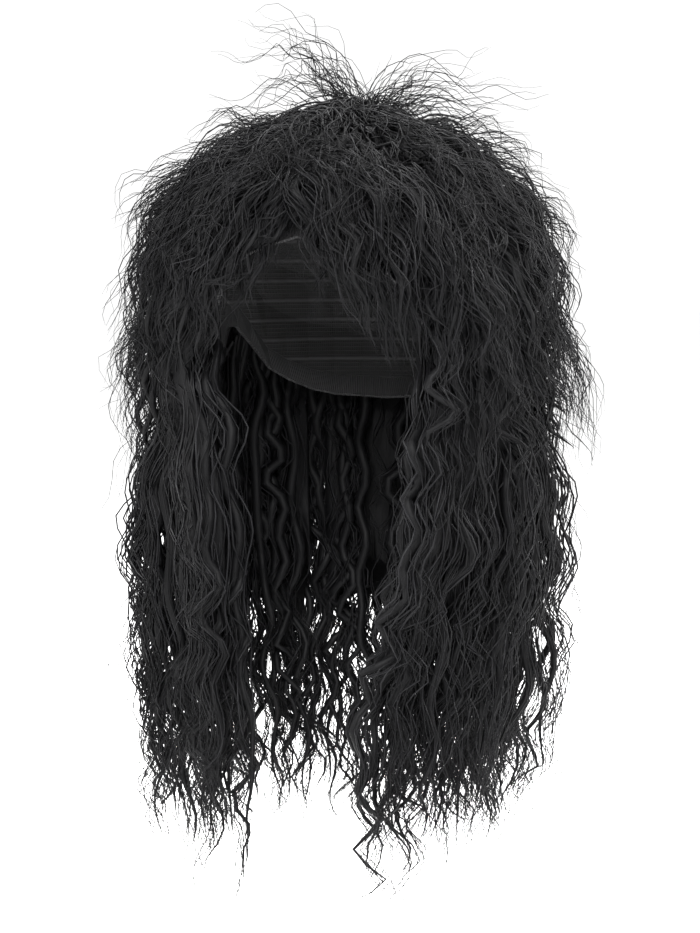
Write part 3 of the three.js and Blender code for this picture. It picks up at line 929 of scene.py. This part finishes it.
@dataclass
class Spray:
    """The upright wisps at the whorl."""

    tree: StrandTree
    wisps: tuple[Wisp, ...] = (
        Wisp(-84, 0.142, 0.86, 0.74),
        Wisp(-62, 0.124, 0.84, 0.86),
        Wisp(-104, 0.132, 0.98, 0.56),
        Wisp(-20, 0.070, 0.66, 0.90),
        Wisp(46, 0.098, 0.74, 0.74),
        Wisp(74, 0.130, 0.90, 0.56),
        Wisp(98, 0.140, 0.98, 0.38),
        Wisp(150, 0.096, 0.84, 0.60),
        Wisp(-150, 0.098, 0.84, 0.62),
    )
    whorl_polar: float = 24
    fan: tuple[float, ...] = (1.0, 0.97, 0.84, 0.7, 0.55)

    def build(self) -> None:
        """Builds and places the spray, a fan of flatter and flatter wisps on each."""
        guides = Guides(SEED + 3)
        whorl = FORM.on_head(180, self.whorl_polar, 0.002)
        for wisp in self.wisps:
            for flat in self.fan:
                away = FORM.around(wisp.turn + guides.between(-18, 18), 1, 0)
                long = wisp.long * guides.between(0.7, 1.04)
                up = np.array((0, 0, long))
                rise = wisp.up * flat
                points = [
                    whorl + 0.003 * away,
                    whorl + 0.3 * up + 0.04 * long * away,
                    whorl + (0.22 + 0.6 * rise) * up + 0.34 * long * away,
                    whorl + (0.06 + 0.86 * rise) * up + 0.68 * wisp.out * long * away,
                    whorl + rise * up + wisp.out * long * away,
                ]
                guides.add(points, Lock(6, 0.012, fine=0.55, loose=1.6, heart=0))
        piece = self.tree.grow("crown_spray_wisps", guides, StrandSizes(shortest=0.5, pinch=-0.2))
        fitted(piece, "hair", "crown_spray")


@dataclass
class Fringe:
    """The parted fringe, two curtains of locks over the forehead.

    Locks gives the turn of each lock's root and that of its tip.
    """

    tree: StrandTree
    locks: tuple[tuple[float, float], ...] = (
        (1, 8), (4, 14), (8, 21), (13, 28), (19, 34), (26, 40), (33, 46), (40, 51), (46, 55)
    )
    root_polar: float = 46
    spread: float = 0.009
    layers: int = 3
    wisp_count: int = 12

    def build(self, side: Side) -> None:
        """Builds and places one half of the fringe.

        Args:
            side: the wearer's side that it falls to.
        """
        guides = Guides(SEED + 5 + side.value)
        for root, tip in self.locks:
            for layer in range(self.layers):
                self.hang(guides, side.value * root, side.value * tip, 0.48 + 0.18 * layer)
        self.wisps(guides, side)
        name = f"fringe_{side.name.lower()}"
        sizes = StrandSizes(step=0.006, shortest=0.6, pinch=0.6, crimp_height=0.0034)
        fitted(self.tree.grow(name + "_locks", guides, sizes), "hair", name)

    def hang(self, guides: Guides, root: float, tip: float, depth: float) -> None:
        """Adds one lock between two turns, at a depth that is a share of the hair's."""
        root += guides.between(-2, 2)
        tip += guides.between(-4, 4)
        low = FORM.hairline(tip) + guides.between(-4, 7)
        points = [
            FORM.on_head(root, self.root_polar, 0.002),
            FORM.on_crown(root, self.root_polar + 3, depth),
            FORM.on_crown(0.5 * (root + tip), 0.5 * (self.root_polar + low), depth + 0.08),
            FORM.on_crown(tip, low, depth - 0.04),
        ]
        guides.add(points, Lock(10, self.spread, fine=0.9, loose=1.3, heart=0.35))

    def wisps(self, guides: Guides, side: Side) -> None:
        """Adds thin single hairs that cross the forehead."""
        for _ in range(self.wisp_count):
            root = side.value * guides.between(1, 16)
            tip = side.value * guides.between(-4, 24)
            low = min(FORM.hairline(tip) + guides.between(8, 24), 100)
            points = [
                FORM.on_head(root, self.root_polar, 0.002),
                FORM.on_crown(root, self.root_polar + 3, 0.5),
                FORM.on_crown(0.5 * (root + tip), 0.5 * (self.root_polar + low), 0.55),
                FORM.on_crown(tip, low, 0.4),
            ]
            guides.add(points, Lock(3, 0.004, fine=0.42, crimp=1.2, loose=1.2, heart=0))


@dataclass
class Layer:
    """Layered hair over the ears or the back of the head, which flares at its tips."""

    hair: bpy.types.Material
    tree: StrandTree
    name: str
    start: float
    end: float
    locks: int
    core_shares: tuple[float, float] = (0.35, 0.62)
    flare: float = 1.0
    core_falls: tuple[float, ...] = (-0.17, -0.1, 0, 0.06)
    shortest_fall: float = 0.16
    longest_fall: float = 0.37
    stray_count: int = 26

    def core(self) -> bpy.types.Object:
        """The dense hair under the locks."""
        return curtain(self.name + "_core", self.core_falls, self.span, self.core_shares, self.hair)

    def span(self, fall: float) -> tuple[float, float]:
        """The turns that bound the layer, at any fall."""
        return self.start, self.end

    def build(self) -> None:
        """Builds and places the layer."""
        seed = SEED + 11 + int(self.start) % 97
        guides = Guides(seed)
        for i in range(self.locks):
            turn = self.start + (self.end - self.start) * (i + guides.between(0.1, 0.9)) / self.locks
            fall = guides.between(self.shortest_fall, self.longest_fall)
            depth = guides.between(0.55, 0.97)
            drift = guides.between(-7, 7)
            points = [
                FORM.in_hair(turn, FORM.height_at(guides.between(-0.16, -0.02)), 0.1),
                FORM.in_hair(turn, FORM.height_at(0.02), 0.75 * depth),
                FORM.in_hair(turn + 0.4 * drift, FORM.height_at(0.45 * fall), 0.9 * depth),
                FORM.in_hair(turn + drift, FORM.height_at(fall), self.flare * depth),
            ]
            guides.add(points, Lock(11, 0.0105, crimp=1.1, loose=1.3))
        self.strays(guides)
        strands = self.tree.grow(self.name + "_locks", guides, StrandSizes(pinch=0.5))
        fitted(joined(strands, self.core()), "hair", self.name)

    def strays(self, guides: Guides) -> None:
        """Adds fine hairs that stand off the layer."""
        for _ in range(self.stray_count):
            turn = guides.between(self.start, self.end)
            fall = guides.between(0.08, 0.34)
            points = [
                FORM.in_hair(turn, FORM.height_at(0.0), 0.85),
                FORM.in_hair(turn, FORM.height_at(0.5 * fall), 1.05),
                FORM.in_hair(turn + guides.between(-6, 6), FORM.height_at(fall), 1.15),
            ]
            guides.add(points, Lock(4, 0.010, fine=0.42, loose=1.8, heart=0))


def curtain(
    name: str,
    falls: tuple[float, ...],
    span: Callable[[float], tuple[float, float]],
    shares: tuple[float, float],
    material: bpy.types.Material,
) -> bpy.types.Object:
    """A curved slab of dense hair, furrowed on both faces.

    Args:
        name: the slab's name.
        falls: its levels, from its root down.
        span: gives the turns that bound it at a fall.
        shares: its inner and outer faces, as shares of the hair's depth.
        material: its material.

    Returns:
        The slab, closed.
    """
    columns = 26
    margin = 3
    inner, outer = shares
    middle = (inner + outer) / 2
    rings = []
    for row, fall in enumerate(falls):
        start, end = span(fall)
        start, end = start + margin, end - margin
        last = row == len(falls) - 1
        thin = last or row == 0
        half = (outer - inner) / 2 * (0.3 if thin else 1)
        outside, inside = [], []
        for i in range(columns + 1):
            turn = start + (end - start) * i / columns
            edge = 0.35 if i in (0, columns) else 1
            furrow = 0.03 * (-1) ** i * edge * (0.2 if thin else 1)
            height = FORM.height_at(fall + (0.05 * (i % 3) if last else 0))
            outside.append(FORM.in_hair(turn, height, middle + half * edge + furrow))
            inside.insert(0, FORM.in_hair(turn, height, middle - half * edge + furrow))
        rings.append(outside + inside)
    return shell(name, rings, material)


@dataclass
class Length:
    """A panel of the long hair, whose locks come apart towards their tips.

    Root, waist and hem are turns at the cap, at the jaw and at the tips, and
    tips are the falls of the tips at the panel's two edges.
    """

    hair: bpy.types.Material
    tree: StrandTree
    name: str
    root: tuple[float, float]
    waist: tuple[float, float]
    hem: tuple[float, float]
    tips: tuple[float, float]
    locks: int = 27
    stray_count: int = 24
    core_shares: tuple[float, float] = (0.5, 0.66)
    core_falls: tuple[float, ...] = (-0.03, 0.05, 0.12, 0.2, 0.32, 0.44)
    levels: tuple[float, ...] = (-0.03, 0.06, 0.17, 0.36, 0.54, 0.76)
    widths: tuple[float, ...] = (0, 0.3, 0.8, 1, 1.5, 2)

    def span(self, fall: float) -> tuple[float, float]:
        """The turns that bound the panel at a fall."""
        wide = float(np.interp(fall, self.levels, self.widths))
        steps = (0, 1, 2)
        start = float(np.interp(wide, steps, (self.root[0], self.waist[0], self.hem[0])))
        end = float(np.interp(wide, steps, (self.root[1], self.waist[1], self.hem[1])))
        return start, end

    def turn(self, fall: float, share: float) -> float:
        """The turn at a share of the panel's width."""
        start, end = self.span(fall)
        return start + share * (end - start)

    def build(self) -> None:
        """Builds and places the panel."""
        seed = SEED + 29 + int(self.root[0]) % 89
        guides = Guides(seed)
        for i in range(self.locks):
            share = (i + guides.between(0.1, 0.9)) / self.locks
            depth = 0.3 + 0.66 * guides.between(0, 1) ** 0.7
            tip = self.tips[0] + share * (self.tips[1] - self.tips[0]) - guides.between(0, 0.12)
            sway = guides.between(-3, 3)
            hook = guides.between(-8, 8)
            end = depth + guides.between(-0.05, 0.18)
            points = [
                FORM.in_hair(self.turn(0, share), FORM.height_at(guides.between(-0.02, 0.04)), 0.15),
                FORM.in_hair(self.turn(0.14, share), FORM.height_at(0.14), 0.15 + 0.45 * depth),
                FORM.in_hair(self.turn(0.32, share), FORM.height_at(0.32), depth),
                FORM.in_hair(self.turn(0.5, share) + sway, FORM.height_at(0.5), depth),
                FORM.in_hair(self.turn(0.7, share) - sway, FORM.height_at(0.7), depth),
                FORM.in_hair(self.turn(tip, share) + sway, FORM.height_at(tip - 0.08), depth),
                FORM.in_hair(self.turn(tip, share) + sway + hook, FORM.height_at(tip), end),
            ]
            guides.add(points, Lock(12, 0.0115, loose=0.8, heart=0.34))
        self.strays(guides)
        sizes = StrandSizes(crimp_height=0.0056, crimp_length=0.042, step=0.0086, pinch=0.72, shortest=0.82)
        strands = self.tree.grow(self.name + "_locks", guides, sizes)
        core = curtain(self.name + "_core", self.core_falls, self.span, self.core_shares, self.hair)
        fitted(joined(strands, core), "hair", self.name)

    def strays(self, guides: Guides) -> None:
        """Adds fine hairs that stray from the panel."""
        for _ in range(self.stray_count):
            share = guides.between(0, 1)
            start = guides.between(0.2, 0.7)
            end = start + guides.between(0.15, 0.3)
            points = [
                FORM.in_hair(self.turn(start, share), FORM.height_at(start), 0.9),
                FORM.in_hair(self.turn(end, share), FORM.height_at((start + end) / 2), 1.08),
                FORM.in_hair(self.turn(end, share), FORM.height_at(end), 1.1),
            ]
            guides.add(points, Lock(3, 0.010, fine=0.42, crimp=1.2, loose=1.6, heart=0))


@dataclass
class Studio:
    """The pale floor, the soft lights and the camera at the photograph's angle."""

    azimuth: float = 20
    elevation: float = 5
    distance: float = 1.55
    metres_per_pixel: float = 0.00064
    picture_height: int = 933
    aim_height: float = -0.193
    aim_right: float = 0.004
    sensor_height: float = 24
    floor_height: float = -0.56
    floor_reach: float = 20
    floor_shade: float = 0.95
    floor_roughness: float = 0.9
    sky_strength: float = 1.08

    def camera(self) -> None:
        """Makes the scene's camera."""
        turn, tilt = math.radians(self.azimuth), math.radians(self.elevation)
        right = Vector((math.cos(turn), math.sin(turn), 0))
        back = Vector((math.sin(turn) * math.cos(tilt), -math.cos(turn) * math.cos(tilt), math.sin(tilt)))
        target = right * self.aim_right + Vector((0, 0, self.aim_height))
        data = bpy.data.cameras.new("camera")
        data.sensor_fit = "VERTICAL"
        data.sensor_height = self.sensor_height
        data.lens = self.sensor_height * self.distance / (self.picture_height * self.metres_per_pixel)
        eye = bpy.data.objects.new("camera", data)
        eye.location = target + back * self.distance
        eye.rotation_euler = back.to_track_quat("Z", "Y").to_euler()
        bpy.context.scene.collection.objects.link(eye)
        bpy.context.scene.camera = eye

    def light(self, name: str, place: tuple[float, float, float], size: float, power: float) -> None:
        """Adds a square soft light that looks at the wig."""
        data = bpy.data.lights.new(name, "AREA")
        data.size = size
        data.energy = power
        lamp = bpy.data.objects.new(name, data)
        lamp.location = place
        middle = Vector((0, 0, self.aim_height))
        lamp.rotation_euler = (lamp.location - middle).to_track_quat("Z", "Y").to_euler()
        bpy.context.scene.collection.objects.link(lamp)

    def floor(self) -> None:
        """Lays the pale floor."""
        reach, low = self.floor_reach, self.floor_height
        signs = ((-1, -1), (1, -1), (1, 1), (-1, 1))
        corners = [(x * reach, y * reach, low) for x, y in signs]
        mesh = bpy.data.meshes.new("floor")
        mesh.from_pydata(corners, [], [(0, 1, 2, 3)])
        material, _, shader = plastic("pale_floor")
        shade = self.floor_shade
        shader.inputs["Base Color"].default_value = (shade, shade, shade, 1)
        shader.inputs["Roughness"].default_value = self.floor_roughness
        mesh.materials.append(material)
        linked("floor", mesh)

    def build(self) -> None:
        """Makes the camera, the lights and the floor."""
        self.camera()
        self.light("key", (0.5, -1.9, 1.2), 1.2, 150)
        self.light("left_fill", (-2.0, -0.9, 0.6), 1.2, 60)
        self.light("right_rim", (1.8, 0.9, 0.9), 1.0, 80)
        self.light("top", (-0.2, 0.3, 2.0), 1.2, 110)
        world = bpy.data.worlds.new("studio")
        world.use_nodes = True
        sky = world.node_tree.nodes["Background"]
        sky.inputs["Color"].default_value = (1, 1, 1, 1)
        sky.inputs["Strength"].default_value = self.sky_strength
        bpy.context.scene.world = world
        bpy.context.scene.view_settings.view_transform = "Standard"
        self.floor()


def main() -> None:
    """Builds the studio, the cap and the hair."""
    logging.basicConfig(level=logging.INFO, format="%(name)s %(message)s")
    Studio().build()
    hair = HairFinish().material()
    tree = StrandTree(hair)
    Cap(NetFinish().material(), ElasticFinish().material()).dress()
    Crown(hair, tree).build()
    Spray(tree).build()
    for side in Side:
        Fringe(tree).build(side)
    for name, start, end, locks, flare in (
        ("side_layer_left", 50, 117, 30, 1.18),
        ("side_layer_right", -117, -46, 30, 0.92),
        ("back_layer_left", 117, 180, 26, 1.0),
        ("back_layer_right", 180, 243, 26, 1.0),
    ):
        Layer(hair, tree, name, start, end, locks, flare=flare).build()
    for name, root, waist, hem, tips in (
        ("length_front_left", (56, 94), (42, 94), (26, 84), (1.04, 0.96)),
        ("length_back_left", (95, 150), (95, 150), (104, 154), (0.96, 1.03)),
        ("length_back", (150, 210), (150, 210), (154, 206), (1.05, 1.05)),
        ("length_back_right", (210, 265), (210, 265), (206, 256), (1.03, 1.02)),
        ("length_front_right", (-94, -50), (-94, -32), (-90, -24), (1.02, 1.05)),
    ):
        Length(hair, tree, name, root, waist, hem, tips).build()


if __name__ == "__main__":
    main()
